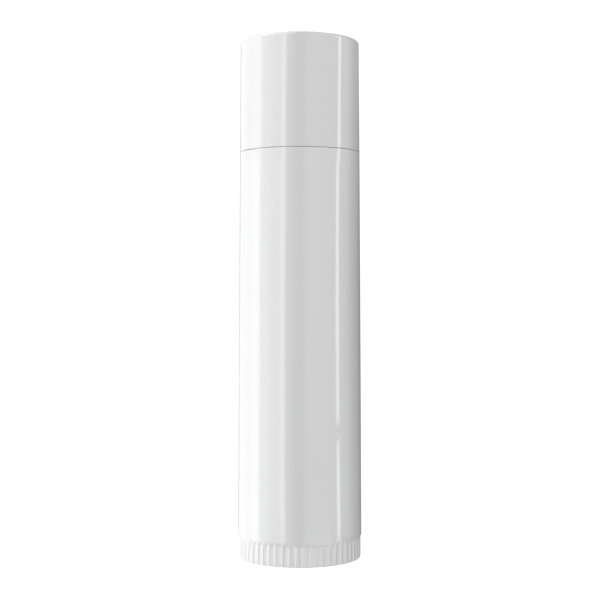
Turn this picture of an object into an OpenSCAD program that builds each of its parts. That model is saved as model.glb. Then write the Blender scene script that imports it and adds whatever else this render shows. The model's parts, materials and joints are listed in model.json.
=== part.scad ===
// Lip balm in a push-up tube: cap, barrel, thumb wheel with spindle, carrier and balm.
// Millimetres, +Z up along the tube's axis, the origin in the middle of the wheel's underside.
// The tube is shown closed, with the carrier at the bottom of its travel.

/* [Outside] */
// Outside diameter at the seam between the barrel and the cap
tube_d = 15.85; // [14:0.05:24]
// Height of the thumb wheel's rim
wheel_h = 3; // [2:0.1:6]
// Height of the barrel from its lower edge to the seam
barrel_h = 50.35; // [44:0.05:80]
// Height of the cap
cap_h = 14.6; // [10:0.1:26]
// Draft of the barrel's outside, in degrees a side, wider towards the foot
barrel_draft = 0.3; // [0:0.02:0.5]
// Draft of the cap's outside, in degrees a side, wider towards the rim
cap_draft = 0.39; // [0:0.03:0.9]
// Step in radius from the barrel's foot to the thumb wheel
wheel_step = 0.12; // [0:0.01:0.5]
// Width of the bevel on each side of the seam
seam_bevel = 0.1; // [0.05:0.01:0.25]
// Radius of the cap's top edge
cap_edge_r = 0.4; // [0.1:0.05:0.8]
// Radius of the barrel's lower edge
foot_edge_r = 0.1; // [0.05:0.05:0.5]

/* [Cap] */
// Wall of the cap at its rim
cap_wall = 0.77; // [0.5:0.01:1.2]
// Thickness of the cap's crown
crown_t = 0.9; // [0.6:0.05:2]
// Radius of the corner inside the crown
crown_fillet = 0.5; // [0.1:0.05:1]
// Lead-in bevel inside the cap's rim
rim_lead = 0.2; // [0.05:0.05:0.3]
// Space between the mouth of the neck and the cap's ceiling
head_space = 3.4; // [1:0.1:6]

/* [Neck] */
// Wall of the neck
neck_wall = 0.7; // [0.5:0.05:1]
// Radius of the rounded mouth of the neck
mouth_edge_r = 0.2; // [0.05:0.05:0.25]
// How far the grip bead stands out from the neck
bead_h = 0.1; // [0.04:0.01:0.2]
// Height of the grip bead along the neck
bead_w = 0.9; // [0.4:0.1:1.6]
// Height of the middle of the grip bead above the shoulder
bead_z = 3; // [1:0.1:4]
// Radial clearance between the grip bead and the cap's bore
cap_fit = 0.08; // [0.05:0.01:0.15]

/* [Barrel foot] */
// Wall of the socket that the wheel's boss turns in
socket_wall = 1.4; // [0.8:0.05:2]
// Depth of the socket
socket_h = 2; // [1:0.1:4]
// Thickness of the barrel's floor
floor_t = 1.2; // [0.8:0.1:3]

/* [Guide ribs] */
// Number of guide ribs inside the barrel
guide_count = 4; // [2:1:6]
// Width of a guide rib
guide_w = 0.9; // [0.5:0.1:1.4]
// How far a guide rib stands into the bore
guide_h = 0.3; // [0.2:0.05:0.4]
// Distance from the mouth of the neck down to the top of the guide ribs
guide_drop = 1.2; // [0.5:0.1:4]

/* [Thumb wheel] */
// Number of ribs round the rim
rib_count = 56; // [30:1:72]
// How far the plain band above the ribs stands out past them
band_step = 0.03; // [0.02:0.01:0.1]
// Depth of the grooves between the ribs
rib_depth = 0.13; // [0.1:0.01:0.4]
// Width of a rib at its crest
rib_crest = 0.12; // [0.1:0.01:0.3]
// Width of a rib at its root
rib_root = 0.58; // [0.4:0.01:0.6]
// Height of the plain band above the ribs
rim_band = 0.2; // [0.1:0.05:1]
// Radius of the rim's lower edge
wheel_edge_r = 0.25; // [0.1:0.05:0.9]
// Gap between the rim and the barrel's lower edge
wheel_gap = 0.05; // [0.05:0.01:0.4]
// Clearance round and above the boss in the socket
boss_fit = 0.12; // [0.05:0.01:0.3]
// Wall between the rim of the boss and the pocket that lightens it
boss_wall = 1.1; // [0.8:0.1:1.6]
// Wall between the pocket and the journal
hub_wall = 0.8; // [0.6:0.1:1.2]
// Thickness of the wheel under the pocket, above the recess
wheel_floor_t = 1.2; // [0.8:0.1:1.5]
// Width of the flat ring that the tube stands on
foot_ring = 1.6; // [0.8:0.1:2.4]
// Depth of the recess in the underside
recess_h = 0.4; // [0.2:0.05:0.8]

/* [Spindle] */
// Diameter of the journal in the barrel's floor
journal_d = 5.4; // [5:0.1:6.4]
// Radial clearance of the journal
journal_fit = 0.05; // [0.02:0.01:0.1]
// How far the snap collar stands out past the hole in the floor
snap_w = 0.3; // [0.15:0.05:0.5]
// Height of the snap collar
snap_h = 1; // [0.6:0.1:1.6]
// Axial play of the snap collar above the floor
snap_play = 0.1; // [0.05:0.01:0.3]
// Outside diameter of the thread
thread_d = 4.7; // [4:0.1:5]
// Depth of the thread
thread_depth = 0.5; // [0.3:0.05:0.7]
// Rise of the thread in one turn
thread_lead = 3; // [2:0.25:5]
// Length of nut still on the thread at the top of the travel
thread_left = 2.5; // [1:0.1:4]
// Length of the plain point above the thread
point_h = 1; // [0.5:0.1:2]

/* [Carrier] */
// Radial clearance between the skirt and the bore
skirt_fit = 0.08; // [0.04:0.01:0.1]
// Wall of the skirt
skirt_wall = 0.75; // [0.6:0.05:1.2]
// Length of the skirt below the web
skirt_h = 7; // [4:0.1:12]
// Thickness of the web between the nut and the skirt
web_t = 0.9; // [0.6:0.1:2]
// Depth of the cup above the web
cup_h = 4.5; // [3:0.1:8]
// Gap between the skirt and the floor at the bottom of the travel
floor_gap = 0.3; // [0.2:0.05:1]
// Distance that the cup's rim stops short of the mouth of the neck
cup_stop = 0.75; // [0.2:0.05:6]
// Radial clearance of the thread in the nut
thread_fit = 0.25; // [0.2:0.01:0.35]
// Wall of the nut outside the thread
nut_wall = 0.9; // [0.6:0.05:1.2]
// Height of the nut and of the fins above the web
fin_h = 2.5; // [1:0.1:2.8]
// Thickness of a fin
fin_t = 0.6; // [0.4:0.05:1]
// Clearance round a guide rib in its notch
guide_fit = 0.12; // [0.05:0.01:0.2]

/* [Balm] */
// Distance from the mouth of the neck down to the edge of the balm
balm_drop = 0.3; // [0:0.05:1.5]
// Radial clearance between the balm and the bore
balm_fit = 0.12; // [0.05:0.01:0.3]
// Clearance round the spindle inside the balm
hole_fit = 0.25; // [0.15:0.05:0.5]
// Clearance between the balm and the sides of the cup, the nut and the fins
cup_fit = 0.03; // [0.01:0.01:0.1]
// Radius of the balm's top edge
balm_edge_r = 0.35; // [0.1:0.05:1]
// Depth of the dish in the balm's top
dish_h = 0.2; // [0.05:0.05:0.6]

/* [Hidden] */
$fn = 96;

// Points on a quarter circle, and facets of the thread round and along one turn
arc_steps = 6;
thread_sides = 12;
thread_steps = 12;
// Overlap where two solids of one moulding are joined, or a cut runs past a face
join = 0.2;
cut = 1;

// Levels from the foot up
foot_z = wheel_h + wheel_gap;
seam_z = foot_z + barrel_h;
top_z = seam_z + cap_h;
ceiling_z = top_z - crown_t;
mouth_z = ceiling_z - head_space;
floor_under_z = foot_z + socket_h;
floor_z = floor_under_z + floor_t;
snap_z = floor_z + snap_play;
snap_top_z = snap_z + snap_h;
skirt_z = floor_z + floor_gap;
web_under_z = skirt_z + skirt_h;
web_z = web_under_z + web_t;
cup_z = web_z + cup_h;
nut_z = snap_top_z + floor_gap;
nut_top_z = web_z + fin_h;
lift = mouth_z - cup_stop - cup_z;
thread_top_z = nut_z + lift + thread_left;
point_z = thread_top_z + point_h;
guide_top_z = mouth_z - guide_drop;
balm_top_z = mouth_z - balm_drop;

// Radii from the outside in
seam_r = tube_d / 2;
foot_r = seam_r + barrel_h * tan(barrel_draft);
crown_r = seam_r - cap_h * tan(cap_draft);
wheel_r = foot_r - wheel_step;
cap_bore_r = seam_r - cap_wall;
neck_r = cap_bore_r - cap_fit - bead_h;
bore_r = neck_r - neck_wall;
guide_r = bore_r - guide_h;
socket_r = foot_r - socket_wall;
boss_r = socket_r - boss_fit;
skirt_r = bore_r - skirt_fit;
cup_r = skirt_r - skirt_wall;
balm_r = bore_r - balm_fit;

// Radii from the axis out
journal_r = journal_d / 2;
floor_hole_r = journal_r + journal_fit;
snap_r = floor_hole_r + snap_w;
thread_r = thread_d / 2;
point_r = thread_r - thread_depth - join;
cone_r = (snap_r + thread_r) / 2;
nut_r = thread_r + thread_fit + nut_wall;
hole_r = thread_r + hole_fit;

// Points of an arc about c, counted in degrees from +X
function arc(c, r, from, to) =
    [for (i = [0 : arc_steps]) let (a = from + (to - from) * i / arc_steps) c + r * [cos(a), sin(a)]];

// Left-hand thread round the axis from z0 to z1: a circle set off the axis and carried round as it
// rises. Its phase depends on the height alone, so the spindle and the nut are in mesh.
module thread(z0, z1, clearance = 0) {
    turns = (z1 - z0) / thread_lead;
    translate([0, 0, z0])
        rotate(-360 * z0 / thread_lead)
            linear_extrude(z1 - z0, twist = 360 * turns, slices = ceil(turns * thread_steps), $fn = thread_sides)
                translate([thread_depth / 2, 0])
                    circle(thread_r - thread_depth / 2 + clearance);
}

// A bar on each guide rib's line, from radius r0 outwards
module guide_bars(r0, r1, w, z0, z1) {
    for (i = [0 : guide_count - 1])
        rotate((i + 0.5) * 360 / guide_count)
            translate([r0, -w / 2, z0])
                cube([r1 - r0, w, z1 - z0]);
}

// Fins across the cup between the nut and the skirt, halfway between the guide ribs
module fin_bars(w, z0, z1) {
    for (i = [0 : guide_count - 1])
        rotate(i * 360 / guide_count)
            translate([nut_r - join, -w / 2, z0])
                cube([cup_r - nut_r + 2 * join, w, z1 - z0]);
}

module cap() {
    outline = concat(
        [[cap_bore_r + rim_lead, seam_z], [seam_r - seam_bevel, seam_z], [seam_r, seam_z + seam_bevel]],
        arc([crown_r - cap_edge_r, top_z - cap_edge_r], cap_edge_r, 0, 90),
        [[0, top_z], [0, ceiling_z]],
        arc([cap_bore_r - crown_fillet, ceiling_z - crown_fillet], crown_fillet, 90, 0),
        [[cap_bore_r, seam_z + rim_lead]]
    );
    color("white")
        rotate_extrude()
            polygon(outline);
}

module barrel() {
    outline = concat(
        [[socket_r, foot_z]],
        arc([foot_r - foot_edge_r, foot_z + foot_edge_r], foot_edge_r, -90, 0),
        [[seam_r, seam_z - seam_bevel], [seam_r - seam_bevel, seam_z], [neck_r, seam_z]],
        [[neck_r, seam_z + bead_z - bead_w / 2], [neck_r + bead_h, seam_z + bead_z]],
        [[neck_r, seam_z + bead_z + bead_w / 2]],
        arc([neck_r - mouth_edge_r, mouth_z - mouth_edge_r], mouth_edge_r, 0, 90),
        arc([bore_r + mouth_edge_r, mouth_z - mouth_edge_r], mouth_edge_r, 90, 180),
        [[bore_r, floor_z], [floor_hole_r, floor_z], [floor_hole_r, floor_under_z]],
        [[socket_r, floor_under_z]]
    );
    color("white") {
        rotate_extrude()
            polygon(outline);
        guide_bars(guide_r, bore_r + join, guide_w, floor_z - join, guide_top_z);
    }
}

// The ribs: one flat-topped tooth for each, as the points of one closed outline. A groove faces the front.
module rib_outline() {
    pitch = 360 / rib_count;
    crest_r = wheel_r - band_step;
    groove_r = crest_r - rib_depth;
    root_a = asin(rib_root / 2 / groove_r);
    crest_a = asin(rib_crest / 2 / crest_r);
    tooth = [[groove_r, -root_a], [crest_r, -crest_a], [crest_r, crest_a], [groove_r, root_a]];
    polygon([for (i = [0 : rib_count - 1], p = tooth)
        p[0] * [cos((i + 0.5) * pitch + p[1]), sin((i + 0.5) * pitch + p[1])]]);
}

module wheel_rim() {
    envelope = concat(
        [[0, 0]],
        arc([wheel_r - wheel_edge_r, wheel_edge_r], wheel_edge_r, -90, 0),
        [[wheel_r, wheel_h], [0, wheel_h]]
    );
    difference() {
        intersection() {
            union() {
                translate([0, 0, -cut])
                    linear_extrude(wheel_h - rim_band + join + cut)
                        rib_outline();
                translate([0, 0, wheel_h - rim_band])
                    cylinder(h = rim_band, r = wheel_r);
            }
            rotate_extrude()
                polygon(envelope);
        }
        translate([0, 0, -cut])
            cylinder(h = recess_h + cut, r = wheel_r - wheel_edge_r - foot_ring);
    }
}

module thumb_wheel() {
    color("whitesmoke") {
        // Rim, and boss in the barrel's socket, with the pocket that lightens them
        difference() {
            union() {
                wheel_rim();
                translate([0, 0, wheel_h - join])
                    cylinder(h = floor_under_z - boss_fit - wheel_h + join, r = boss_r);
            }
            translate([0, 0, recess_h + wheel_floor_t])
                difference() {
                    cylinder(h = floor_under_z, r = boss_r - boss_wall);
                    translate([0, 0, -cut])
                        cylinder(h = floor_under_z + 2 * cut, r = journal_r + hub_wall);
                }
        }
        // Journal in the floor
        translate([0, 0, wheel_h])
            cylinder(h = snap_z - wheel_h, r = journal_r);
        // Snap collar, with a cone that leads it through the hole
        translate([0, 0, snap_z])
            cylinder(h = snap_h / 3, r = snap_r);
        translate([0, 0, snap_z + snap_h / 3])
            cylinder(h = snap_h * 2 / 3, r1 = snap_r, r2 = cone_r);
        // Spindle with its thread and plain point
        thread(snap_top_z - join, thread_top_z);
        translate([0, 0, thread_top_z - join])
            cylinder(h = join + point_h / 2, r = point_r);
        translate([0, 0, thread_top_z + point_h / 2])
            cylinder(h = point_h / 2, r1 = point_r, r2 = point_r / 2);
    }
}

module carrier() {
    color("white")
        difference() {
            union() {
                // Skirt and cup wall
                translate([0, 0, skirt_z])
                    difference() {
                        cylinder(h = cup_z - skirt_z, r = skirt_r);
                        translate([0, 0, -cut])
                            cylinder(h = cup_z - skirt_z + 2 * cut, r = cup_r);
                    }
                translate([0, 0, web_under_z])
                    cylinder(h = web_t, r = cup_r + join);
                translate([0, 0, nut_z])
                    cylinder(h = nut_top_z - nut_z, r = nut_r);
                fin_bars(fin_t, web_z - join, nut_top_z);
            }
            thread(nut_z - cut, nut_top_z + cut, thread_fit);
            guide_bars(guide_r - guide_fit, bore_r, guide_w + 2 * guide_fit, skirt_z - cut, cup_z + cut);
        }
}

module balm() {
    dish = [for (i = [1 : arc_steps]) let (u = 1 - i / arc_steps)
        [u * (balm_r - balm_edge_r), balm_top_z - dish_h * (1 - u * u)]];
    outline = concat(
        [[nut_r + cup_fit, web_z], [cup_r - cup_fit, web_z], [cup_r - cup_fit, cup_z], [balm_r, cup_z]],
        arc([balm_r - balm_edge_r, balm_top_z - balm_edge_r], balm_edge_r, 0, 90),
        dish,
        [[0, point_z + hole_fit], [point_r / 2 + hole_fit, point_z + hole_fit]],
        [[hole_r, thread_top_z + hole_fit], [hole_r, nut_top_z + cup_fit], [nut_r + cup_fit, nut_top_z + cup_fit]]
    );
    color("cornsilk")
        difference() {
            rotate_extrude()
                polygon(outline);
            fin_bars(fin_t + 2 * cup_fit, web_z - cut, nut_top_z + cup_fit);
            guide_bars(guide_r - guide_fit, bore_r + cut, guide_w + 2 * guide_fit,
                cup_z - cut, guide_top_z + guide_fit);
        }
}

cap();
barrel();
thumb_wheel();
carrier();
balm();
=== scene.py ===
"""A lip balm in its push-up tube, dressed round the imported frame.

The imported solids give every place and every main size. Each visible solid is replaced by a piece that
is turned on its axis as a mould maker would turn it, with rounded edges, ribs, thread and gate marks,
and finished in moulded white plastic or in wax. All lengths here are metres, and the sizes that are
written as numbers are millimetres times MM.
"""

import json
import logging
import math
from dataclasses import dataclass, replace
from enum import Enum
from typing import Callable, Sequence

import bmesh
import bpy
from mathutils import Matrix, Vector

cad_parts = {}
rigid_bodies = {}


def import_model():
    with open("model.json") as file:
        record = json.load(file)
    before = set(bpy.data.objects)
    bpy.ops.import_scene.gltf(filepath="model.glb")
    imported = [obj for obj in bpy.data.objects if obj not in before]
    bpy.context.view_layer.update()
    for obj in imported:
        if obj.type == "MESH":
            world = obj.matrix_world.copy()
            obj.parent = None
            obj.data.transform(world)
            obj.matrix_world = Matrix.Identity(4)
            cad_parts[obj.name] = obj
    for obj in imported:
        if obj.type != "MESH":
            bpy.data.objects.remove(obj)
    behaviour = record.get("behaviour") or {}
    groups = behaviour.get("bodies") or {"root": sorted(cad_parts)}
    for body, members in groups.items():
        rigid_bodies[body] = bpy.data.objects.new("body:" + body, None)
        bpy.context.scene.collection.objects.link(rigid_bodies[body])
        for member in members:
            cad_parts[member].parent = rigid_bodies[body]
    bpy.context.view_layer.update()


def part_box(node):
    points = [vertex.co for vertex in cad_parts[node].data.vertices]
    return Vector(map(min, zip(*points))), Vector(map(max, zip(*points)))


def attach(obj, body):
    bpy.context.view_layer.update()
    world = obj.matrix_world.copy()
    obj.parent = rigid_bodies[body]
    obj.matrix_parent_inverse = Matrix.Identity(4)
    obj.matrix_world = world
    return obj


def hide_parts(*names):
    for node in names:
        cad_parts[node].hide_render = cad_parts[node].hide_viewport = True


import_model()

LOG = logging.getLogger("lip_balm")

MM = 0.001
FULL_TURN = 2.0 * math.pi
ORIGIN = (0.0, 0.0, 0.0)
# Points closer than this are one point, and a point this near to a place is at that place
WELD = 1e-7
NEAR = 2e-6
# Decimals by which points are told apart
DIGITS = 6
# Distance from a rounded corner to the ring that keeps its shading off the long faces, and the least
# length of the straight side between two corners that gets such rings
GUARD = 0.06 * MM
GUARD_ROOM = 4.0 * GUARD
SMOOTH_ANGLE = math.radians(38.0)
# Numbers of the sockets by which a mix node takes and gives colours
MIX_SHARE, MIX_FIRST, MIX_SECOND, MIX_RESULT = 0, 6, 7, 2

Place = Callable[[Vector], bool]
Triple = tuple[float, float, float]
Colour = tuple[float, float, float, float]


class Body(Enum):
    """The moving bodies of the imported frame."""

    BARREL = "barrel"
    WHEEL = "thumb_wheel"
    CARRIER = "carrier"
    CAP = "cap"


class Slot(Enum):
    """The material slots of the pieces, as the record names them."""

    CAP = "cap_plastic"
    BARREL = "barrel_plastic"
    WHEEL = "wheel_plastic"
    BALM = "balm_wax"


# Modelling


@dataclass(frozen=True)
class Corner:
    """A corner of a turned profile.

    Attributes:
        r: Distance from the axis.
        z: Height.
        ease: Length of each side that the rounding takes, or 0 for a sharp corner.
        segments: Facets of the rounding.
    """

    r: float
    z: float
    ease: float = 0.0
    segments: int = 4


class Bench:
    """The edit-mode tools that the pieces are modelled with."""

    @staticmethod
    def deselect() -> None:
        """Deselect every object."""
        bpy.ops.object.select_all(action="DESELECT")

    @staticmethod
    def pick(obj: bpy.types.Object) -> None:
        """Select one object alone and make it the active one.

        Args:
            obj: The object.
        """
        Bench.deselect()
        obj.select_set(True)
        bpy.context.view_layer.objects.active = obj

    @staticmethod
    def edit(obj: bpy.types.Object, mode: str = "VERT") -> None:
        """Open a mesh in edit mode.

        Args:
            obj: The mesh object.
            mode: The select mode: VERT, EDGE or FACE.
        """
        Bench.pick(obj)
        bpy.ops.object.mode_set(mode="EDIT")
        bpy.ops.mesh.select_mode(type=mode)

    @staticmethod
    def close(obj: bpy.types.Object) -> None:
        """Leave the edit mode of a mesh object."""
        obj.update_from_editmode()
        bpy.ops.object.mode_set(mode="OBJECT")

    @staticmethod
    def select_points(obj: bpy.types.Object, place: Place) -> int:
        """Select the vertices of an open mesh by their place.

        Args:
            obj: The mesh object in edit mode.
            place: Says whether a vertex at a place is selected.

        Returns:
            How many vertices were selected.
        """
        mesh = bmesh.from_edit_mesh(obj.data)
        count = 0
        for vertex in mesh.verts:
            chosen = place(vertex.co)
            vertex.select_set(chosen)
            count += chosen
        mesh.select_flush_mode()
        bmesh.update_edit_mesh(obj.data)
        return count

    @staticmethod
    def select_numbers(obj: bpy.types.Object, numbers: Sequence[int]) -> None:
        """Select the vertices of an open mesh by their numbers.

        Args:
            obj: The mesh object in edit mode.
            numbers: The vertices' numbers.
        """
        bpy.ops.mesh.select_all(action="DESELECT")
        mesh = bmesh.from_edit_mesh(obj.data)
        mesh.verts.ensure_lookup_table()
        for number in numbers:
            mesh.verts[number].select_set(True)
        bmesh.update_edit_mesh(obj.data)

    @staticmethod
    def narrow(factor: float) -> None:
        """Bring the selected vertices of the open mesh to a share of their radius."""
        bpy.ops.transform.resize(value=(factor, factor, 1.0), center_override=ORIGIN)

    @staticmethod
    def spin(sides: int) -> None:
        """Spin the open mesh once about the tube's axis."""
        bpy.ops.mesh.select_all(action="SELECT")
        bpy.ops.mesh.spin(steps=sides, angle=FULL_TURN, use_auto_merge=True, center=ORIGIN, axis=(0, 0, 1))

    @staticmethod
    def set_origin(obj: bpy.types.Object) -> None:
        """Put an object's place into its mesh, so that the object sits at the origin."""
        Bench.pick(obj)
        bpy.ops.object.transform_apply(location=True, rotation=True, scale=True)

    @staticmethod
    def smooth(obj: bpy.types.Object, angle: float = SMOOTH_ANGLE) -> None:
        """Shade a mesh smooth, apart from the edges that turn by more than the angle."""
        Bench.pick(obj)
        bpy.ops.object.shade_smooth_by_angle(angle=angle)

    @staticmethod
    def join(target: bpy.types.Object, others: Sequence[bpy.types.Object]) -> None:
        """Make several meshes one piece.

        Args:
            target: The object that is kept.
            others: The objects that go into it.
        """
        Bench.pick(target)
        for other in others:
            other.select_set(True)
        bpy.ops.object.join()


class Lathe:
    """Turns closed profiles into solid meshes."""

    @staticmethod
    def start(name: str, first: Corner) -> bpy.types.Object:
        """Add a mesh of a single vertex and leave it open in edit mode.

        Args:
            name: The piece's name.
            first: Where the vertex goes.

        Returns:
            The new object, in edit mode.
        """
        Bench.deselect()
        bpy.ops.mesh.primitive_plane_add(size=MM)
        obj = bpy.context.object
        obj.name = name
        obj.data.name = name
        Bench.edit(obj)
        bpy.ops.mesh.select_all(action="SELECT")
        bpy.ops.mesh.merge(type="CENTER")
        bpy.ops.transform.translate(value=(first.r, 0.0, first.z))
        return obj

    @staticmethod
    def guarded(corners: Sequence[Corner], closed: bool) -> list[Corner]:
        """Add a plain point on each long side near its rounded ends.

        Args:
            corners: The profile.
            closed: Whether the last corner joins the first.

        Returns:
            The corners with the added points between them.
        """
        points: list[Corner] = []
        count = len(corners)
        for index, here in enumerate(corners):
            points.append(here)
            if index + 1 == count and not closed:
                break
            there = corners[(index + 1) % count]
            length = math.hypot(there.r - here.r, there.z - here.z)
            stops: list[float] = []
            if here.ease:
                stops.append(here.ease + GUARD)
            if there.ease:
                stops.append(length - there.ease - GUARD)
            if stops and here.ease + there.ease + GUARD_ROOM < length:
                for stop in stops:
                    share = stop / length
                    points.append(Corner(here.r + (there.r - here.r) * share,
                                         here.z + (there.z - here.z) * share))
        return points

    @staticmethod
    def turn(name: str, corners: Sequence[Corner], sides: int, closed: bool = False) -> bpy.types.Object:
        """Draw a profile, round its corners and spin it about the tube's axis.

        Args:
            name: The piece's name.
            corners: The profile, from the axis to the axis, or a loop clear of the axis.
            sides: Facets round the axis.
            closed: Whether the profile is a loop.

        Returns:
            The new object, out of edit mode.
        """
        points = Lathe.guarded(corners, closed)
        obj = Lathe.start(name, points[0])
        path = points[1:] + (points[:1] if closed else [])
        here = points[0]
        for there in path:
            bpy.ops.mesh.extrude_vertices_move(
                TRANSFORM_OT_translate={"value": (there.r - here.r, 0.0, there.z - here.z)})
            here = there
        bpy.ops.mesh.select_all(action="SELECT")
        bpy.ops.mesh.remove_doubles(threshold=WELD)
        for corner in corners:
            if corner.ease:
                spot = Vector((corner.r, 0.0, corner.z))
                Bench.select_points(obj, lambda co, spot=spot: (co - spot).length < NEAR)
                bpy.ops.mesh.bevel(offset=corner.ease, offset_type="OFFSET", segments=corner.segments,
                                   affect="VERTICES", profile=0.5)
        Bench.spin(sides)
        bpy.ops.mesh.select_all(action="SELECT")
        bpy.ops.mesh.remove_doubles(threshold=WELD)
        bpy.ops.mesh.normals_make_consistent(inside=False)
        Bench.close(obj)
        return obj


def azimuth(place: Vector) -> float:
    """Return the angle of a place round the axis, from +X, in radians."""
    return math.atan2(place.y, place.x)


def phase(place: Vector, count: int) -> float:
    """Return how far a place is from the middle of its share of a turn, from 0 to 0.5 at its ends."""
    turns = azimuth(place) / FULL_TURN * count
    return abs(turns - round(turns))


def ramp(value: float, low: float, high: float) -> float:
    """Return a smooth step from 0 at low to 1 at high."""
    share = min(max((value - low) / (high - low), 0.0), 1.0)
    return share * share * (3.0 - 2.0 * share)


# Materials


class Value:
    """A socket that can be used in an expression."""

    def __init__(self, nodes: "NodeTree", socket: bpy.types.NodeSocket) -> None:
        """Wrap an output socket of a tree."""
        self.nodes = nodes
        self.socket = socket

    def __add__(self, other: "Value | float") -> "Value":
        """Add."""
        return self.nodes.calc("ADD", self, other)

    def __radd__(self, other: float) -> "Value":
        """Add, from the right."""
        return self.nodes.calc("ADD", other, self)

    def __sub__(self, other: "Value | float") -> "Value":
        """Subtract."""
        return self.nodes.calc("SUBTRACT", self, other)

    def __rsub__(self, other: float) -> "Value":
        """Subtract from a number."""
        return self.nodes.calc("SUBTRACT", other, self)

    def __mul__(self, other: "Value | float") -> "Value":
        """Multiply."""
        return self.nodes.calc("MULTIPLY", self, other)

    def __rmul__(self, other: float) -> "Value":
        """Multiply, from the right."""
        return self.nodes.calc("MULTIPLY", other, self)


class NodeTree:
    """One material's nodes, with its principled shader."""

    def __init__(self, name: str) -> None:
        """Make a material with a principled shader.

        Args:
            name: The material's name.
        """
        self.material = bpy.data.materials.new(name)
        self.material.use_nodes = True
        self.tree = self.material.node_tree
        self.shader = next(node for node in self.tree.nodes if node.type == "BSDF_PRINCIPLED")
        self.place = self.add("ShaderNodeTexCoord", {}, {}, "Object")

    def add(self, kind: str, settings: dict[str, object], inputs: dict[str | int, object],
            output: str | int = 0) -> Value:
        """Add a node.

        Args:
            kind: The node's type.
            settings: Its properties, which are set first; "stops" holds a ramp's places and colours.
            inputs: Values or links for its input sockets, by name or number.
            output: The output socket that is wanted.

        Returns:
            The output.
        """
        node = self.tree.nodes.new(kind)
        for key, setting in settings.items():
            if key == "stops":
                elements = node.color_ramp.elements
                elements.remove(elements[-1])
                elements[0].position, elements[0].color = setting[0]
                for where, colour in setting[1:]:
                    elements.new(where).color = colour
            else:
                setattr(node, key, setting)
        for key, item in inputs.items():
            if isinstance(item, Value):
                self.tree.links.new(item.socket, node.inputs[key])
            else:
                node.inputs[key].default_value = item
        return Value(self, node.outputs[output])

    def scaled(self, scale: Triple) -> Value:
        """Return the object coordinates, scaled by a factor for each axis."""
        return self.add("ShaderNodeMapping", {}, {"Vector": self.place, "Scale": scale})

    def noise(self, scale: Triple, detail: float = 2.0, roughness: float = 0.5) -> Value:
        """Return a noise field from about 0 to 1, with the waves per metre along each axis."""
        return self.add("ShaderNodeTexNoise", {}, {
            "Vector": self.scaled(scale), "Scale": 1.0, "Detail": detail, "Roughness": roughness})

    def mix(self, share: Value, first: Colour, second: Colour) -> Value:
        """Mix two colours, with a share of the second one."""
        return self.add("ShaderNodeMix", {"data_type": "RGBA"},
                        {MIX_SHARE: share, MIX_FIRST: first, MIX_SECOND: second}, MIX_RESULT)

    def bump(self, height: Value, distance: float, under: Value | None = None) -> Value:
        """Return a normal that follows a height field.

        Args:
            height: The field, from 0 to 1.
            distance: The height in metres that 1 stands for.
            under: A normal to build on.

        Returns:
            The normal.
        """
        inputs: dict[str | int, object] = {"Height": height, "Distance": distance, "Strength": 1.0}
        if under is not None:
            inputs["Normal"] = under
        return self.add("ShaderNodeBump", {}, inputs)

    def calc(self, operation: str, first: Value | float, second: Value | float,
             clamp: bool = False) -> Value:
        """Return a result of arithmetic, held between 0 and 1 where clamp is true."""
        settings = {"operation": operation, "use_clamp": clamp}
        return self.add("ShaderNodeMath", settings, {0: first, 1: second})

    def above(self, item: Value, limit: float) -> Value:
        """Return 1 where a value is above a limit, and 0 elsewhere."""
        return self.calc("GREATER_THAN", item, limit)

    def between(self, item: Value, low: float, high: float) -> Value:
        """Return 1 where a value is between two limits, and 0 elsewhere."""
        return self.above(item, low) - self.above(item, high)

    def span(self, angle: Value, low: float, high: float) -> Value:
        """Return 1 where an angle is between two limits in degrees, and 0 elsewhere."""
        return self.between(angle, math.radians(low), math.radians(high))

    def roughen(self, field: Value, roughness: float, spread: float) -> None:
        """Set the shader's roughness, which a field from 0 to 1 changes by the spread."""
        self.link("Roughness", field * spread + (roughness - spread / 2.0))

    def link(self, name: str, item: Value) -> None:
        """Feed a socket of the shader with a value."""
        self.tree.links.new(item.socket, self.shader.inputs[name])

    def fix(self, name: str, constant: object) -> None:
        """Set a socket of the shader to a constant."""
        self.shader.inputs[name].default_value = constant


@dataclass(frozen=True)
class MouldedPlastic:
    """White polypropylene as it leaves a polished or a plain mould.

    Attributes:
        name: The material's name.
        colour: The plain colour.
        shade: The colour of its faint cloudiness.
        roughness: The mean roughness.
        roughness_spread: How much the roughness changes over the surface.
        wave: Depth of the slow waviness that cooling leaves, in metres.
        wave_scale: Waves per metre along X, Y and Z.
        grain: Depth of the mould's fine grain, in metres.
        grain_scale: Grains per metre.
        ior: Index of refraction.
        cloud_scale: Clouds per metre along X, Y and Z.
        haze_scale: Changes of roughness per metre along X, Y and Z.
    """

    name: str
    colour: Colour
    shade: Colour
    roughness: float
    roughness_spread: float
    wave: float
    wave_scale: Triple
    grain: float
    grain_scale: float
    ior: float = 1.49
    cloud_scale: Triple = (90.0, 90.0, 45.0)
    haze_scale: Triple = (260.0, 260.0, 120.0)

    def make(self) -> bpy.types.Material:
        """Make the material.

        Returns:
            The material.
        """
        nodes = NodeTree(self.name)
        cloud = nodes.noise(self.cloud_scale, detail=3.0)
        nodes.link("Base Color", nodes.mix(cloud, self.colour, self.shade))
        haze = nodes.noise(self.haze_scale, detail=4.0, roughness=0.6)
        nodes.roughen(haze, self.roughness, self.roughness_spread)
        wave = nodes.bump(nodes.noise(self.wave_scale, detail=1.0), self.wave)
        grain = nodes.noise((self.grain_scale,) * 3, detail=2.0)
        nodes.link("Normal", nodes.bump(grain, self.grain, wave))
        nodes.fix("IOR", self.ior)
        return nodes.material


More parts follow.
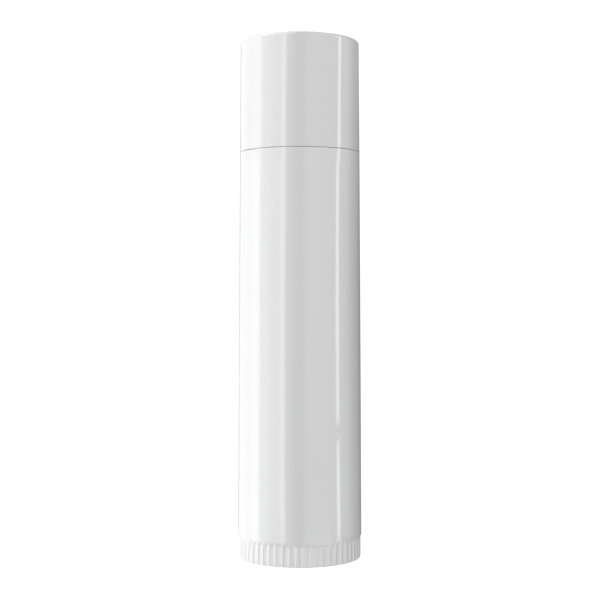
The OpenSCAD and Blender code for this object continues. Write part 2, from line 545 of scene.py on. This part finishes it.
@dataclass(frozen=True)
class PouredWax:
    """Balm that was poured hot and set in the tube.

    Attributes:
        name: The material's name.
        colour: The plain colour.
        shade: The colour of its cloudy places.
        roughness: The mean roughness.
        roughness_spread: How much the roughness changes over the surface.
        swirl: Depth of the swirls that setting leaves, in metres.
        pit: Depth of the fine pits, in metres.
        glow: Share of light that travels under the surface.
        glow_radius: How far it travels, in metres.
        glow_reach: Which shares of glow_radius red, green and blue light travel.
        ior: Index of refraction.
        cloud_scale: Clouds per metre along X, Y and Z.
        sweat_scale: Changes of roughness per metre along X, Y and Z.
        swirl_scale: Swirls per metre along X, Y and Z.
        pit_scale: Pits per metre along X, Y and Z.
    """

    name: str
    colour: Colour
    shade: Colour
    roughness: float
    roughness_spread: float
    swirl: float
    pit: float
    glow: float
    glow_radius: float
    glow_reach: Triple = (1.0, 0.7, 0.4)
    ior: float = 1.44
    cloud_scale: Triple = (210.0, 210.0, 70.0)
    sweat_scale: Triple = (900.0, 900.0, 900.0)
    swirl_scale: Triple = (330.0, 330.0, 90.0)
    pit_scale: Triple = (2600.0, 2600.0, 2600.0)

    def make(self) -> bpy.types.Material:
        """Make the material.

        Returns:
            The material.
        """
        nodes = NodeTree(self.name)
        cloud = nodes.noise(self.cloud_scale, detail=5.0, roughness=0.6)
        nodes.link("Base Color", nodes.mix(cloud, self.colour, self.shade))
        sweat = nodes.noise(self.sweat_scale, detail=3.0)
        nodes.roughen(sweat, self.roughness, self.roughness_spread)
        swirl = nodes.bump(nodes.noise(self.swirl_scale, detail=3.0), self.swirl)
        pits = nodes.bump(nodes.noise(self.pit_scale, detail=2.0), self.pit, swirl)
        nodes.link("Normal", pits)
        nodes.fix("IOR", self.ior)
        nodes.fix("Subsurface Weight", self.glow)
        nodes.fix("Subsurface Radius", self.glow_reach)
        nodes.fix("Subsurface Scale", self.glow_radius)
        return nodes.material


GLOSSY_MOULD = MouldedPlastic(
    name="glossy_white_plastic", colour=(0.86, 0.86, 0.86, 1.0), shade=(0.845, 0.846, 0.85, 1.0),
    roughness=0.07, roughness_spread=0.02, wave=0.02 * MM, wave_scale=(95.0, 95.0, 30.0),
    grain=0.0004 * MM, grain_scale=5200.0)
CAP_MOULD = replace(GLOSSY_MOULD, name="cap_white_plastic", colour=(0.845, 0.845, 0.845, 1.0),
                    shade=(0.83, 0.831, 0.835, 1.0))
SOFT_MOULD = MouldedPlastic(
    name="soft_white_plastic", colour=(0.86, 0.86, 0.86, 1.0), shade=(0.845, 0.846, 0.85, 1.0),
    roughness=0.2, roughness_spread=0.05, wave=0.01 * MM, wave_scale=(150.0, 150.0, 120.0),
    grain=0.0012 * MM, grain_scale=6000.0, ior=1.43)
PLAIN_MOULD = MouldedPlastic(
    name="plain_white_plastic", colour=(0.83, 0.83, 0.82, 1.0), shade=(0.80, 0.80, 0.79, 1.0),
    roughness=0.36, roughness_spread=0.1, wave=0.008 * MM, wave_scale=(220.0, 220.0, 160.0),
    grain=0.003 * MM, grain_scale=5200.0)
CREAM_WAX = PouredWax(
    name="cream_wax", colour=(0.88, 0.80, 0.60, 1.0), shade=(0.90, 0.835, 0.66, 1.0),
    roughness=0.38, roughness_spread=0.16, swirl=0.05 * MM, pit=0.006 * MM, glow=0.35, glow_radius=1.2 * MM)


# The pieces


def box_of(node: str) -> Triple:
    """Return a solid's radius, lowest level and highest level."""
    low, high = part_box(node)
    return min(high[0], high[1], -low[0], -low[1]), low[2], high[2]


@dataclass
class Piece:
    """What every dressed piece has: a body to ride on, the node that it replaces, and a slot.

    In the sizes of the pieces, an ease is how much of a corner's sides the rounding takes.
    """

    name: str
    node: str
    body: Body
    slot: Slot

    def dress(self, obj: bpy.types.Object, material: bpy.types.Material) -> bpy.types.Object:
        """Give a mesh its material and its place in the frame.

        Args:
            obj: The finished mesh object.
            material: Its material.

        Returns:
            The same object.
        """
        obj.data.materials.clear()
        obj.data.materials.append(material)
        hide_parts(self.node)
        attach(obj, self.body.value)
        low = [min(corner[axis] for corner in obj.bound_box) for axis in range(3)]
        high = [max(corner[axis] for corner in obj.bound_box) for axis in range(3)]
        LOG.info("%s: %d faces, %.2f to %.2f mm high, %.2f mm across, rides on %s", obj.name,
                 len(obj.data.polygons), low[2] / MM, high[2] / MM, (high[0] - low[0]) / MM,
                 self.body.value)
        return obj


@dataclass
class Cap(Piece):
    """The thin push-on cap with its nearly flat crown."""

    name: str = "cap_shell"
    node: str = "cap"
    body: Body = Body.CAP
    slot: Slot = Slot.CAP
    draft: float = math.radians(0.39)
    wall: float = 0.77 * MM
    crown: float = 0.9 * MM
    top_ease: float = 0.38 * MM
    rim_ease: float = 0.08 * MM
    # How far the rim reaches below the solid's
    seam_drop: float = 0.02 * MM
    lip_ease: float = 0.05 * MM
    lead: float = 0.2 * MM
    lead_ease: float = 0.08 * MM
    inner_fillet: float = 0.5 * MM
    gate_r: float = 0.7 * MM
    gate_depth: float = 0.09 * MM
    gate_slope: float = 0.14 * MM
    gate_ease: float = 0.06 * MM
    sides: int = 192

    def build(self, material: bpy.types.Material) -> bpy.types.Object:
        """Model the cap.

        Args:
            material: The plastic.

        Returns:
            The piece.
        """
        seam_r, seam_z, top_z = box_of(self.node)
        seam_z -= self.seam_drop
        crown_r = seam_r - (top_z - seam_z) * math.tan(self.draft)
        bore_r = seam_r - self.wall
        ceiling_z = top_z - self.crown
        gate_z = top_z - self.gate_depth
        obj = Lathe.turn(self.name, [
            Corner(0.0, gate_z),
            Corner(self.gate_r, gate_z, self.gate_ease, 3),
            Corner(self.gate_r + self.gate_slope, top_z, self.gate_ease, 3),
            Corner(crown_r, top_z, self.top_ease, 8),
            Corner(seam_r, seam_z, self.rim_ease, 4),
            Corner(bore_r + self.lead, seam_z, self.lip_ease, 3),
            Corner(bore_r, seam_z + self.lead, self.lead_ease, 3),
            Corner(bore_r, ceiling_z, self.inner_fillet, 6),
            Corner(0.0, ceiling_z),
        ], self.sides)
        Bench.smooth(obj)
        return self.dress(obj, material)


@dataclass
class Barrel(Piece):
    """The tube: foot, glossy body, neck with its grip bead, bore and guide ribs."""

    name: str = "barrel_shell"
    node: str = "barrel"
    body: Body = Body.BARREL
    slot: Slot = Slot.BARREL
    neck_r: float = 6.975 * MM
    neck_wall: float = 0.7 * MM
    bead_h: float = 0.1 * MM
    bead_w: float = 0.9 * MM
    bead_up: float = 3.0 * MM
    bead_ease: float = 0.25 * MM
    bead_side_ease: float = 0.1 * MM
    mouth_ease: float = 0.22 * MM
    socket_wall: float = 1.4 * MM
    socket_h: float = 2.0 * MM
    floor_t: float = 1.2 * MM
    floor_ease: float = 0.3 * MM
    hole_r: float = 2.75 * MM
    hole_ease: float = 0.15 * MM
    under_ease: float = 0.1 * MM
    edge_ease: float = 0.12 * MM
    foot_ease: float = 0.02 * MM
    seam_ease: float = 0.05 * MM
    # How far the shoulder stands below the solid's, which leaves a fine gap under the cap's rim
    seam_drop: float = 0.065 * MM
    guide_count: int = 4
    guide_w: float = 0.9 * MM
    guide_h: float = 0.3 * MM
    guide_drop: float = 1.2 * MM
    guide_ease: float = 0.14 * MM
    sink: float = 0.2 * MM
    sides: int = 192

    def build(self, material: bpy.types.Material) -> bpy.types.Object:
        """Model the barrel with its guide ribs.

        Args:
            material: The plastic.

        Returns:
            The piece.
        """
        foot_r, foot_z, mouth_z = box_of(self.node)
        seam_r, seam_z, _ = box_of("cap")
        seam_z -= self.seam_drop
        bore_r = self.neck_r - self.neck_wall
        socket_r = foot_r - self.socket_wall
        under_z = foot_z + self.socket_h
        floor_z = under_z + self.floor_t
        bead_z = seam_z + self.bead_up
        obj = Lathe.turn(self.name, [
            Corner(socket_r, foot_z, self.edge_ease, 3),
            Corner(foot_r, foot_z, self.foot_ease, 3),
            Corner(seam_r, seam_z, self.seam_ease, 4),
            Corner(self.neck_r, seam_z, self.edge_ease, 3),
            Corner(self.neck_r, bead_z - self.bead_w / 2.0, self.bead_side_ease, 2),
            Corner(self.neck_r + self.bead_h, bead_z, self.bead_ease, 4),
            Corner(self.neck_r, bead_z + self.bead_w / 2.0, self.bead_side_ease, 2),
            Corner(self.neck_r, mouth_z, self.mouth_ease, 6),
            Corner(bore_r, mouth_z, self.mouth_ease, 6),
            Corner(bore_r, floor_z, self.floor_ease, 3),
            Corner(self.hole_r, floor_z, self.hole_ease, 3),
            Corner(self.hole_r, under_z, self.under_ease, 3),
            Corner(socket_r, under_z, self.hole_ease, 3),
        ], self.sides, closed=True)
        ribs = [self.guide_rib(index, bore_r, floor_z - self.sink, mouth_z - self.guide_drop)
                for index in range(self.guide_count)]
        Bench.join(obj, ribs)
        Bench.smooth(obj)
        return self.dress(obj, material)

    def guide_rib(self, index: int, bore_r: float, low_z: float, high_z: float) -> bpy.types.Object:
        """Model one guide rib, with rounded inner edges and a sloped top.

        Args:
            index: Which rib, counted from the one at 45 degrees.
            bore_r: The radius of the wall that it stands on.
            low_z: The level of its foot.
            high_z: The level of its top.

        Returns:
            The rib's mesh object.
        """
        inner_r = bore_r - self.guide_h
        outer_r = bore_r + self.sink
        Bench.deselect()
        bpy.ops.mesh.primitive_cube_add(size=1.0)
        rib = bpy.context.object
        rib.scale = (outer_r - inner_r, self.guide_w, high_z - low_z)
        rib.location = ((outer_r + inner_r) / 2.0, 0.0, (high_z + low_z) / 2.0)
        Bench.set_origin(rib)
        Bench.edit(rib, "EDGE")
        mesh = bmesh.from_edit_mesh(rib.data)
        for edge in mesh.edges:
            edge.select_set(all(vertex.co.x < inner_r + NEAR for vertex in edge.verts)
                            and any(vertex.co.z > high_z - NEAR for vertex in edge.verts))
        bmesh.update_edit_mesh(rib.data)
        bpy.ops.mesh.bevel(offset=self.guide_ease, segments=3, affect="EDGES")
        bpy.ops.mesh.select_all(action="SELECT")
        bpy.ops.transform.rotate(value=(index + 0.5) * FULL_TURN / self.guide_count, orient_axis="Z",
                                 center_override=ORIGIN)
        bpy.ops.mesh.normals_make_consistent(inside=False)
        Bench.close(rib)
        return rib


@dataclass
class ThumbWheel(Piece):
    """The ribbed wheel with its boss, journal, snap collar and threaded spindle."""

    name: str = "ribbed_wheel"
    node: str = "thumb_wheel"
    body: Body = Body.WHEEL
    slot: Slot = Slot.WHEEL
    rim_h: float = 3.04 * MM
    rim_ease: float = 0.015 * MM
    edge_r: float = 0.25 * MM
    rib_count: int = 56
    columns: int = 16
    # A flute's depth in the middle, and the power by which it falls away towards the ribs
    flute_depth: float = 0.1 * MM
    flute_power: int = 3
    # A flute's top is at band_z in the middle and arch_h lower at the ribs, and arch_run below its top
    # the flute has its full depth
    band_z: float = 3.0 * MM
    arch_h: float = 0.3 * MM
    arch_power: int = 3
    arch_run: float = 0.5 * MM
    # Levels on which the tops of the flutes are shaped
    rows: tuple[float, ...] = (2.15 * MM, 2.3 * MM, 2.42 * MM, 2.53 * MM, 2.63 * MM, 2.72 * MM,
                               2.8 * MM, 2.87 * MM, 2.93 * MM, 2.98 * MM)
    foot_ring: float = 1.6 * MM
    foot_ease: float = 0.12 * MM
    recess_h: float = 0.4 * MM
    gate_r: float = 0.6 * MM
    gate_h: float = 0.12 * MM
    gate_slope: float = 0.08 * MM
    gate_ease: float = 0.05 * MM
    gate_lip_ease: float = 0.04 * MM
    boss_r: float = 6.669 * MM
    boss_z: float = 4.93 * MM
    boss_wall: float = 1.1 * MM
    boss_ease: float = 0.15 * MM
    ease: float = 0.1 * MM
    pocket_z: float = 1.6 * MM
    pocket_ease: float = 0.2 * MM
    hub_r: float = 3.5 * MM
    hub_sides: int = 144
    journal_r: float = 2.7 * MM
    snap_z: float = 6.35 * MM
    snap_r: float = 3.05 * MM
    snap_h: float = 1.0 * MM
    snap_ease: float = 0.06 * MM
    cone_ease: float = 0.08 * MM
    core_r: float = 1.65 * MM
    core_ease: float = 0.05 * MM
    point_h: float = 1.0 * MM
    tip_ease: float = 0.12 * MM
    thread_r: float = 2.35 * MM
    thread_depth: float = 0.5 * MM
    thread_lead: float = 3.0 * MM
    thread_sides: int = 16
    thread_steps: int = 24
    sink: float = 0.2 * MM
    smooth_angle: float = math.radians(60.0)

    def build(self, material: bpy.types.Material) -> bpy.types.Object:
        """Model the wheel and its spindle as one moulding.

        Args:
            material: The plastic.

        Returns:
            The piece.
        """
        tip_z = box_of(self.node)[2]
        snap_top = self.snap_z + self.snap_h
        obj = self.rim()
        Bench.join(obj, [self.hub(tip_z), self.thread(snap_top - self.sink, tip_z - self.point_h)])
        Bench.smooth(obj, self.smooth_angle)
        return self.dress(obj, material)

    def rim(self) -> bpy.types.Object:
        """Model the fluted rim, a ring that stands on its lower face.

        Returns:
            The ring's mesh object.
        """
        wheel_r, foot_z, _ = box_of(self.node)
        ring_r = wheel_r - self.edge_r - self.foot_ring
        obj = Lathe.turn(self.name, [
            Corner(ring_r, foot_z, self.foot_ease, 3),
            Corner(wheel_r, foot_z, self.edge_r, 7),
            *[Corner(wheel_r, level) for level in self.rows],
            Corner(wheel_r, self.rim_h, self.rim_ease, 2),
            Corner(ring_r, self.rim_h),
        ], self.rib_count * self.columns, closed=True)
        Bench.edit(obj)
        spots: dict[tuple[int, float, float], list[int]] = {}
        for vertex in bmesh.from_edit_mesh(obj.data).verts:
            ring = vertex.co.xy.length
            if ring > wheel_r - self.flute_depth and vertex.co.z < self.band_z:
                column = round(phase(vertex.co, self.rib_count) * self.columns)
                spot = (column, round(vertex.co.z, DIGITS), round(ring, DIGITS))
                spots.setdefault(spot, []).append(vertex.index)
        for (column, level, ring), points in spots.items():
            share = 2.0 * column / self.columns
            depth = self.flute_depth * (1.0 - share ** self.flute_power)
            top = self.band_z - self.arch_h * share ** self.arch_power
            factor = (wheel_r - depth * ramp(top - level, 0.0, self.arch_run)) / ring
            if factor < 1.0:
                Bench.select_numbers(obj, points)
                Bench.narrow(factor)
        Bench.close(obj)
        return obj

    def hub(self, tip_z: float) -> bpy.types.Object:
        """Model the floor, boss, journal, snap collar and the spindle's core, which sit inside the rim.

        Args:
            tip_z: The level of the spindle's tip.

        Returns:
            The hub's mesh object.
        """
        snap_top = self.snap_z + self.snap_h
        return Lathe.turn("hub", [
            Corner(0.0, self.recess_h - self.gate_h),
            Corner(self.gate_r, self.recess_h - self.gate_h, self.gate_ease, 2),
            Corner(self.gate_r + self.gate_slope, self.recess_h, self.gate_lip_ease, 2),
            Corner(self.boss_r, self.recess_h),
            Corner(self.boss_r, self.boss_z, self.boss_ease, 3),
            Corner(self.boss_r - self.boss_wall, self.boss_z, self.ease, 3),
            Corner(self.boss_r - self.boss_wall, self.pocket_z, self.pocket_ease, 3),
            Corner(self.hub_r, self.pocket_z, self.pocket_ease, 3),
            Corner(self.hub_r, self.boss_z, self.ease, 3),
            Corner(self.journal_r, self.boss_z, self.ease, 3),
            Corner(self.journal_r, self.snap_z, self.snap_ease, 2),
            Corner(self.snap_r, self.snap_z, self.snap_ease, 2),
            Corner(self.snap_r, self.snap_z + self.snap_h / 3.0, self.ease, 3),
            Corner((self.snap_r + self.thread_r) / 2.0, snap_top, self.cone_ease, 3),
            Corner(self.core_r, snap_top, self.core_ease, 2),
            Corner(self.core_r, tip_z - self.point_h / 2.0, self.ease, 3),
            Corner(self.core_r / 2.0, tip_z, self.tip_ease, 3),
            Corner(0.0, tip_z),
        ], self.hub_sides)

    def thread(self, low_z: float, high_z: float) -> bpy.types.Object:
        """Model the left-hand thread: a circle off the axis, screwed upwards.

        Args:
            low_z: The level where it starts.
            high_z: The level where it ends.

        Returns:
            The thread's mesh object.
        """
        turns = (high_z - low_z) / self.thread_lead
        start = -FULL_TURN * low_z / self.thread_lead
        offset = self.thread_depth / 2.0
        spot = (offset * math.cos(start), offset * math.sin(start), low_z)
        Bench.deselect()
        bpy.ops.mesh.primitive_circle_add(vertices=self.thread_sides, radius=self.thread_r - offset,
                                          location=spot)
        obj = bpy.context.object
        Bench.set_origin(obj)
        screw = obj.modifiers.new("thread", "SCREW")
        screw.axis = "Z"
        screw.angle = -FULL_TURN * turns
        screw.screw_offset = high_z - low_z
        screw.steps = screw.render_steps = math.ceil(turns * self.thread_steps)
        screw.use_merge_vertices = False
        bpy.ops.object.modifier_apply(modifier=screw.name)
        Bench.edit(obj)
        for level in (low_z, high_z):
            Bench.select_points(obj, lambda co, level=level: abs(co.z - level) < NEAR)
            bpy.ops.mesh.edge_face_add()
        bpy.ops.mesh.select_all(action="SELECT")
        bpy.ops.mesh.normals_make_consistent(inside=False)
        Bench.close(obj)
        return obj


@dataclass
class Balm(Piece):
    """The wax stick, set in its cup and fluted by the guide ribs."""

    name: str = "balm_stick"
    node: str = "balm"
    body: Body = Body.CARRIER
    slot: Slot = Slot.BALM
    # The hollow that the cup, the nut and the spindle leave in the wax
    cup_r: float = 5.415 * MM
    cup_z: float = 18.95 * MM
    nut_r: float = 3.53 * MM
    nut_z: float = 16.98 * MM
    hole_r: float = 2.6 * MM
    hole_z: float = 54.4 * MM
    point_z: float = 55.4 * MM
    point_r: float = 1.075 * MM
    edge: float = 0.42 * MM
    ease: float = 0.1 * MM
    rim_ease: float = 0.15 * MM
    dish: float = 0.2 * MM
    # Shares of the top's radius at which the dish gets a ring
    dish_rings: tuple[float, ...] = (0.85, 0.7, 0.5, 0.3, 0.12)
    flute_count: int = 4
    flute_r: float = 5.855 * MM
    flute_half: float = math.radians(5.7)
    flute_top: float = 62.62 * MM
    # Depths below the flutes' tops at which the side gets a ring
    flute_rings: tuple[float, ...] = (0.55 * MM, 0.35 * MM, 0.2 * MM, 0.08 * MM, 0.0)
    smooth_angle: float = math.radians(50.0)
    sides: int = 256

    def build(self, material: bpy.types.Material) -> bpy.types.Object:
        """Model the balm.

        Args:
            material: The wax.

        Returns:
            The piece.
        """
        balm_r, web_z, top_z = box_of(self.node)
        inner = balm_r - self.edge
        bowl = [Corner(inner * share, top_z - self.dish * (1.0 - share * share))
                for share in self.dish_rings]
        flute_rows = [Corner(balm_r, self.flute_top - depth) for depth in self.flute_rings]
        obj = Lathe.turn(self.name, [
            Corner(0.0, self.point_z),
            Corner(self.point_r, self.point_z, self.ease, 2),
            Corner(self.hole_r, self.hole_z, self.ease, 2),
            Corner(self.hole_r, self.nut_z, self.ease, 2),
            Corner(self.nut_r, self.nut_z, self.ease, 2),
            Corner(self.nut_r, web_z, self.ease, 2),
            Corner(self.cup_r, web_z, self.ease, 2),
            Corner(self.cup_r, self.cup_z, self.ease, 2),
            Corner(balm_r, self.cup_z, self.rim_ease, 3),
            *flute_rows,
            Corner(balm_r, top_z, self.edge, 6),
            *bowl,
            Corner(0.0, top_z - self.dish),
        ], self.sides)
        self.flute(obj)
        Bench.smooth(obj, self.smooth_angle)
        return self.dress(obj, material)

    def flute(self, obj: bpy.types.Object) -> None:
        """Press the four flutes that the guide ribs leave along the balm.

        Args:
            obj: The turned balm.
        """
        balm_r = box_of(self.node)[0]
        share = self.flute_half / FULL_TURN * self.flute_count

        def in_flute(co: Vector) -> bool:
            """Say whether a vertex lies in a flute."""
            across = abs(phase(co, self.flute_count) - 0.5) < share and co.xy.length > self.flute_r
            return across and self.cup_z - NEAR < co.z < self.flute_top - NEAR

        Bench.edit(obj)
        if Bench.select_points(obj, in_flute):
            Bench.narrow(self.flute_r / balm_r)
        Bench.close(obj)


# Studio


@dataclass(frozen=True)
class Lamp:
    """A round soft lamp, which the tube doesn't mirror.

    Attributes:
        name: The lamp's name.
        place: Where it stands.
        size: Its width.
        power: Its power in watts.
    """

    name: str
    place: Triple
    size: float
    power: float

    def build(self, aim: Vector) -> None:
        """Put up the lamp.

        Args:
            aim: The point that it faces.
        """
        data = bpy.data.lights.new(self.name, "AREA")
        data.shape = "DISK"
        data.size = self.size
        data.energy = self.power
        data.specular_factor = 0.0
        lamp = bpy.data.objects.new(self.name, data)
        lamp.location = self.place
        lamp.rotation_euler = (aim - Vector(self.place)).to_track_quat("-Z", "Y").to_euler()
        lamp.visible_glossy = False
        bpy.context.scene.collection.objects.link(lamp)


@dataclass
class Studio:
    """The pale floor, the tent of reflecting cloth, the lamps and the camera.

    Angles are in degrees round the tube's axis, from the camera's side towards +X. A dim is the share
    of the tent's glow that is taken away; what is added is in the same units as the glow.
    """

    camera_place: Triple = (0.00004, -0.174, 0.03392)
    lens: float = 78.77
    sensor: float = 36.0
    clip_start: float = 0.005
    clip_end: float = 20.0
    world: float = 0.3
    lamps: tuple[Lamp, ...] = (
        Lamp("key", (0.32, -0.91, 0.3), 0.7, 4.2),
        Lamp("fill", (-0.92, -0.33, 0.3), 0.7, 2.0))
    lamp_aim: Triple = (0.0, 0.0, 0.034)
    floor_z: float = -0.01 * MM
    floor_white: float = 0.8
    floor_rough: float = 0.9
    floor_glow: float = 0.82
    bowl_r: float = 1.6
    bowl_h: float = 2.4
    bowl_ease: float = 0.5
    bowl_sides: int = 96
    tent_r: float = 0.5
    tent_low: float = -3.0
    tent_high: float = 3.0
    tent_sides: int = 180
    # How brightly the tent glows at each angle
    glow: tuple[tuple[float, float], ...] = (
        (-180.0, 0.8), (-157.5, 1.0), (-156.5, 1.9), (-135.0, 3.7), (-125.0, 5.2), (-111.0, 6.6),
        (-96.0, 9.0), (-83.0, 9.7), (-79.0, 7.3), (-75.0, 6.9), (-64.5, 6.7), (-53.5, 5.5), (-40.5, 4.9),
        (-37.0, 5.2), (-33.5, 6.3), (-29.7, 5.5), (-25.5, 2.3), (-8.0, 0.5), (4.0, 0.4), (15.0, 1.5),
        (67.0, 2.0), (70.5, 2.3), (71.5, 6.0), (77.5, 6.0), (78.5, 1.9), (93.0, 1.3), (102.0, 0.85),
        (111.0, 0.3), (121.0, 0.06), (147.0, 0.05), (180.0, 0.2))
    brightest: float = 10.0
    # Where the right side starts, and the range of the narrow bright strip on it
    right_start: float = 60.0
    strip_low: float = 70.8
    strip_high: float = 78.2
    # A bar that breaks the strip
    bar_low: float = -0.0322
    bar_high: float = -0.0247
    bar_dim: float = 1.0
    # The strips bend to the right above and below the level lean_z: how fast on either side of the tube,
    # how far at most, and from which angle on
    lean_left: float = 2.0
    lean_right: float = 4.3
    lean_most: float = 0.1
    lean_z: float = 0.0185
    lean_start: float = -50.0
    # From the level cap_z up the cap mirrors the tent: the strips stand apart, and one range is dimmer
    cap_z: float = 0.108
    cap_hop: float = 3.3
    cap_hop_left: float = 3.0
    cap_start: float = -100.0
    cap_low: float = -130.0
    cap_high: float = -38.0
    cap_dim: float = 0.05
    # From foot_z down to foot_end the wheel mirrors the tent: the right side and the range from foot_low
    # to foot_high are dimmer, and the range from fill_low to fill_high glows a little more
    foot_z: float = -0.083
    foot_end: float = -0.25
    foot_dim: float = 0.85
    foot_low: float = -62.0
    foot_high: float = -20.0
    foot_left_dim: float = 0.35
    fill: float = 1.2
    fill_low: float = 10.0
    fill_high: float = 85.0
    # The glow of the table there, from table_z down to its full strength table_run below
    table: float = 0.5
    table_z: float = -0.1
    table_run: float = 0.1
    # The whole tent is dimmer below foot_end
    below_dim: float = 0.6
    # How the dark right side brightens above the camera's level, and less below it
    lift: float = 28.0
    lift_below: float = 0.4
    lift_most: float = 0.4
    lift_start: float = 95.0

    def build(self) -> None:
        """Make the whole studio."""
        self.floor()
        self.tent()
        for lamp in self.lamps:
            lamp.build(Vector(self.lamp_aim))
        self.backdrop()
        self.camera()

    def camera(self) -> None:
        """Put the camera where the photograph was taken from."""
        data = bpy.data.cameras.new("camera")
        data.lens = self.lens
        data.sensor_width = self.sensor
        data.clip_start = self.clip_start
        data.clip_end = self.clip_end
        camera = bpy.data.objects.new("camera", data)
        camera.location = self.camera_place
        camera.rotation_euler = (math.radians(90.0), 0.0, 0.0)
        bpy.context.scene.collection.objects.link(camera)
        bpy.context.scene.camera = camera

    def backdrop(self) -> None:
        """Set the even grey surroundings and the view transform."""
        world = bpy.data.worlds.new("surroundings")
        world.use_nodes = True
        background = next(node for node in world.node_tree.nodes if node.type == "BACKGROUND")
        background.inputs["Color"].default_value = (1.0, 1.0, 1.0, 1.0)
        background.inputs["Strength"].default_value = self.world
        bpy.context.scene.world = world
        bpy.context.scene.view_settings.view_transform = "Standard"

    def floor(self) -> None:
        """Make the pale floor, which rises all round into a pale wall."""
        obj = Lathe.turn("studio_floor", [
            Corner(0.0, self.floor_z),
            Corner(self.bowl_r, self.floor_z, self.bowl_ease, 12),
            Corner(self.bowl_r, self.bowl_h),
            Corner(0.0, self.bowl_h),
        ], self.bowl_sides)
        Bench.smooth(obj)
        nodes = NodeTree("pale_floor")
        nodes.fix("Base Color", (self.floor_white,) * 3 + (1.0,))
        nodes.fix("Roughness", self.floor_rough)
        nodes.fix("Specular IOR Level", 0.0)
        nodes.fix("Emission Color", (1.0, 1.0, 1.0, 1.0))
        nodes.fix("Emission Strength", self.floor_glow)
        obj.data.materials.append(nodes.material)
        obj.visible_glossy = False
        obj.visible_diffuse = False
        obj.visible_shadow = False

    def tent(self) -> None:
        """Make the round tent, whose glow only reflections show."""
        obj = Lathe.start("studio_tent", Corner(self.tent_r, self.tent_low))
        bpy.ops.mesh.extrude_vertices_move(
            TRANSFORM_OT_translate={"value": (0.0, 0.0, self.tent_high - self.tent_low)})
        Bench.spin(self.tent_sides)
        Bench.close(obj)
        nodes = NodeTree("tent_glow")
        nodes.fix("Base Color", (0.0, 0.0, 0.0, 1.0))
        nodes.fix("Specular IOR Level", 0.0)
        nodes.link("Emission Color", self.tent_glow(nodes))
        nodes.fix("Emission Strength", self.brightest)
        obj.data.materials.append(nodes.material)
        obj.visible_camera = False
        obj.visible_diffuse = False
        obj.visible_shadow = False
        obj.visible_transmission = False

    def tent_glow(self, nodes: NodeTree) -> Value:
        """Work out how brightly each place of the tent glows.

        Args:
            nodes: The tent's nodes.

        Returns:
            The glow, as a share of the brightest.
        """
        x, y, z = (nodes.add("ShaderNodeSeparateXYZ", {}, {0: nodes.place}, axis) for axis in "XYZ")
        angle = nodes.calc("ARCTAN2", x, 0.0 - y)
        right = nodes.above(angle, math.radians(self.right_start))
        on_cap = nodes.above(z, self.cap_z)
        foot = nodes.between(z, self.foot_end, self.foot_z)

        rise = z - self.lean_z
        most = right * (self.lean_right - self.lean_left) + self.lean_left
        lean = (nodes.calc("MINIMUM", rise * rise * most, self.lean_most)
                * nodes.above(angle, math.radians(self.lean_start)))
        hop = (right * math.radians(self.cap_hop)
               + nodes.span(angle, self.cap_start, self.cap_high) * math.radians(self.cap_hop_left))
        turned = angle - lean - on_cap * hop
        stops = [(degrees / 360.0 + 0.5, (glow / self.brightest,) * 3 + (1.0,))
                 for degrees, glow in self.glow]
        strips = nodes.add("ShaderNodeValToRGB", {"stops": stops}, {0: turned * (1.0 / FULL_TURN) + 0.5})

        bar = (nodes.between(z, self.bar_low, self.bar_high)
               * nodes.span(turned, self.strip_low, self.strip_high) * self.bar_dim)
        cap_dim = on_cap * nodes.span(angle, self.cap_low, self.cap_high) * self.cap_dim
        foot_left = nodes.span(angle, self.foot_low, self.foot_high) * self.foot_left_dim
        foot_dim = foot * (right * self.foot_dim + foot_left)
        below_dim = (1.0 - nodes.above(z, self.foot_end)) * self.below_dim

        away = z - self.camera_place[2]
        share = nodes.above(away, 0.0) * (1.0 - self.lift_below) + self.lift_below
        lift = (nodes.calc("MINIMUM", away * away * self.lift, self.lift_most) * share
                * nodes.above(angle, math.radians(self.lift_start)))
        table = (nodes.calc("MULTIPLY", self.table_z - z, 1.0 / self.table_run, clamp=True)
                 * foot * self.table)
        fill = nodes.span(angle, self.fill_low, self.fill_high) * foot * self.fill
        return (strips * (1.0 - bar - cap_dim - foot_dim - below_dim)
                + (lift + table + fill) * (1.0 / self.brightest))


def finish_carrier(material: bpy.types.Material) -> None:
    """Give the carrier, whose solid stays, its plastic.

    Args:
        material: The plastic.
    """
    for obj in bpy.data.objects:
        if obj.type == "MESH" and obj.name == "carrier":
            for slot in obj.material_slots:
                slot.material = material
            LOG.info("carrier: %d faces, kept from the solids", len(obj.data.polygons))


def main() -> None:
    """Build the pieces in order, then the studio."""
    logging.basicConfig(level=logging.INFO, format="%(message)s")
    Cap().build(CAP_MOULD.make())
    Barrel().build(GLOSSY_MOULD.make())
    ThumbWheel().build(SOFT_MOULD.make())
    finish_carrier(PLAIN_MOULD.make())
    Balm().build(CREAM_WAX.make())
    Studio().build()


if __name__ == "__main__":
    main()
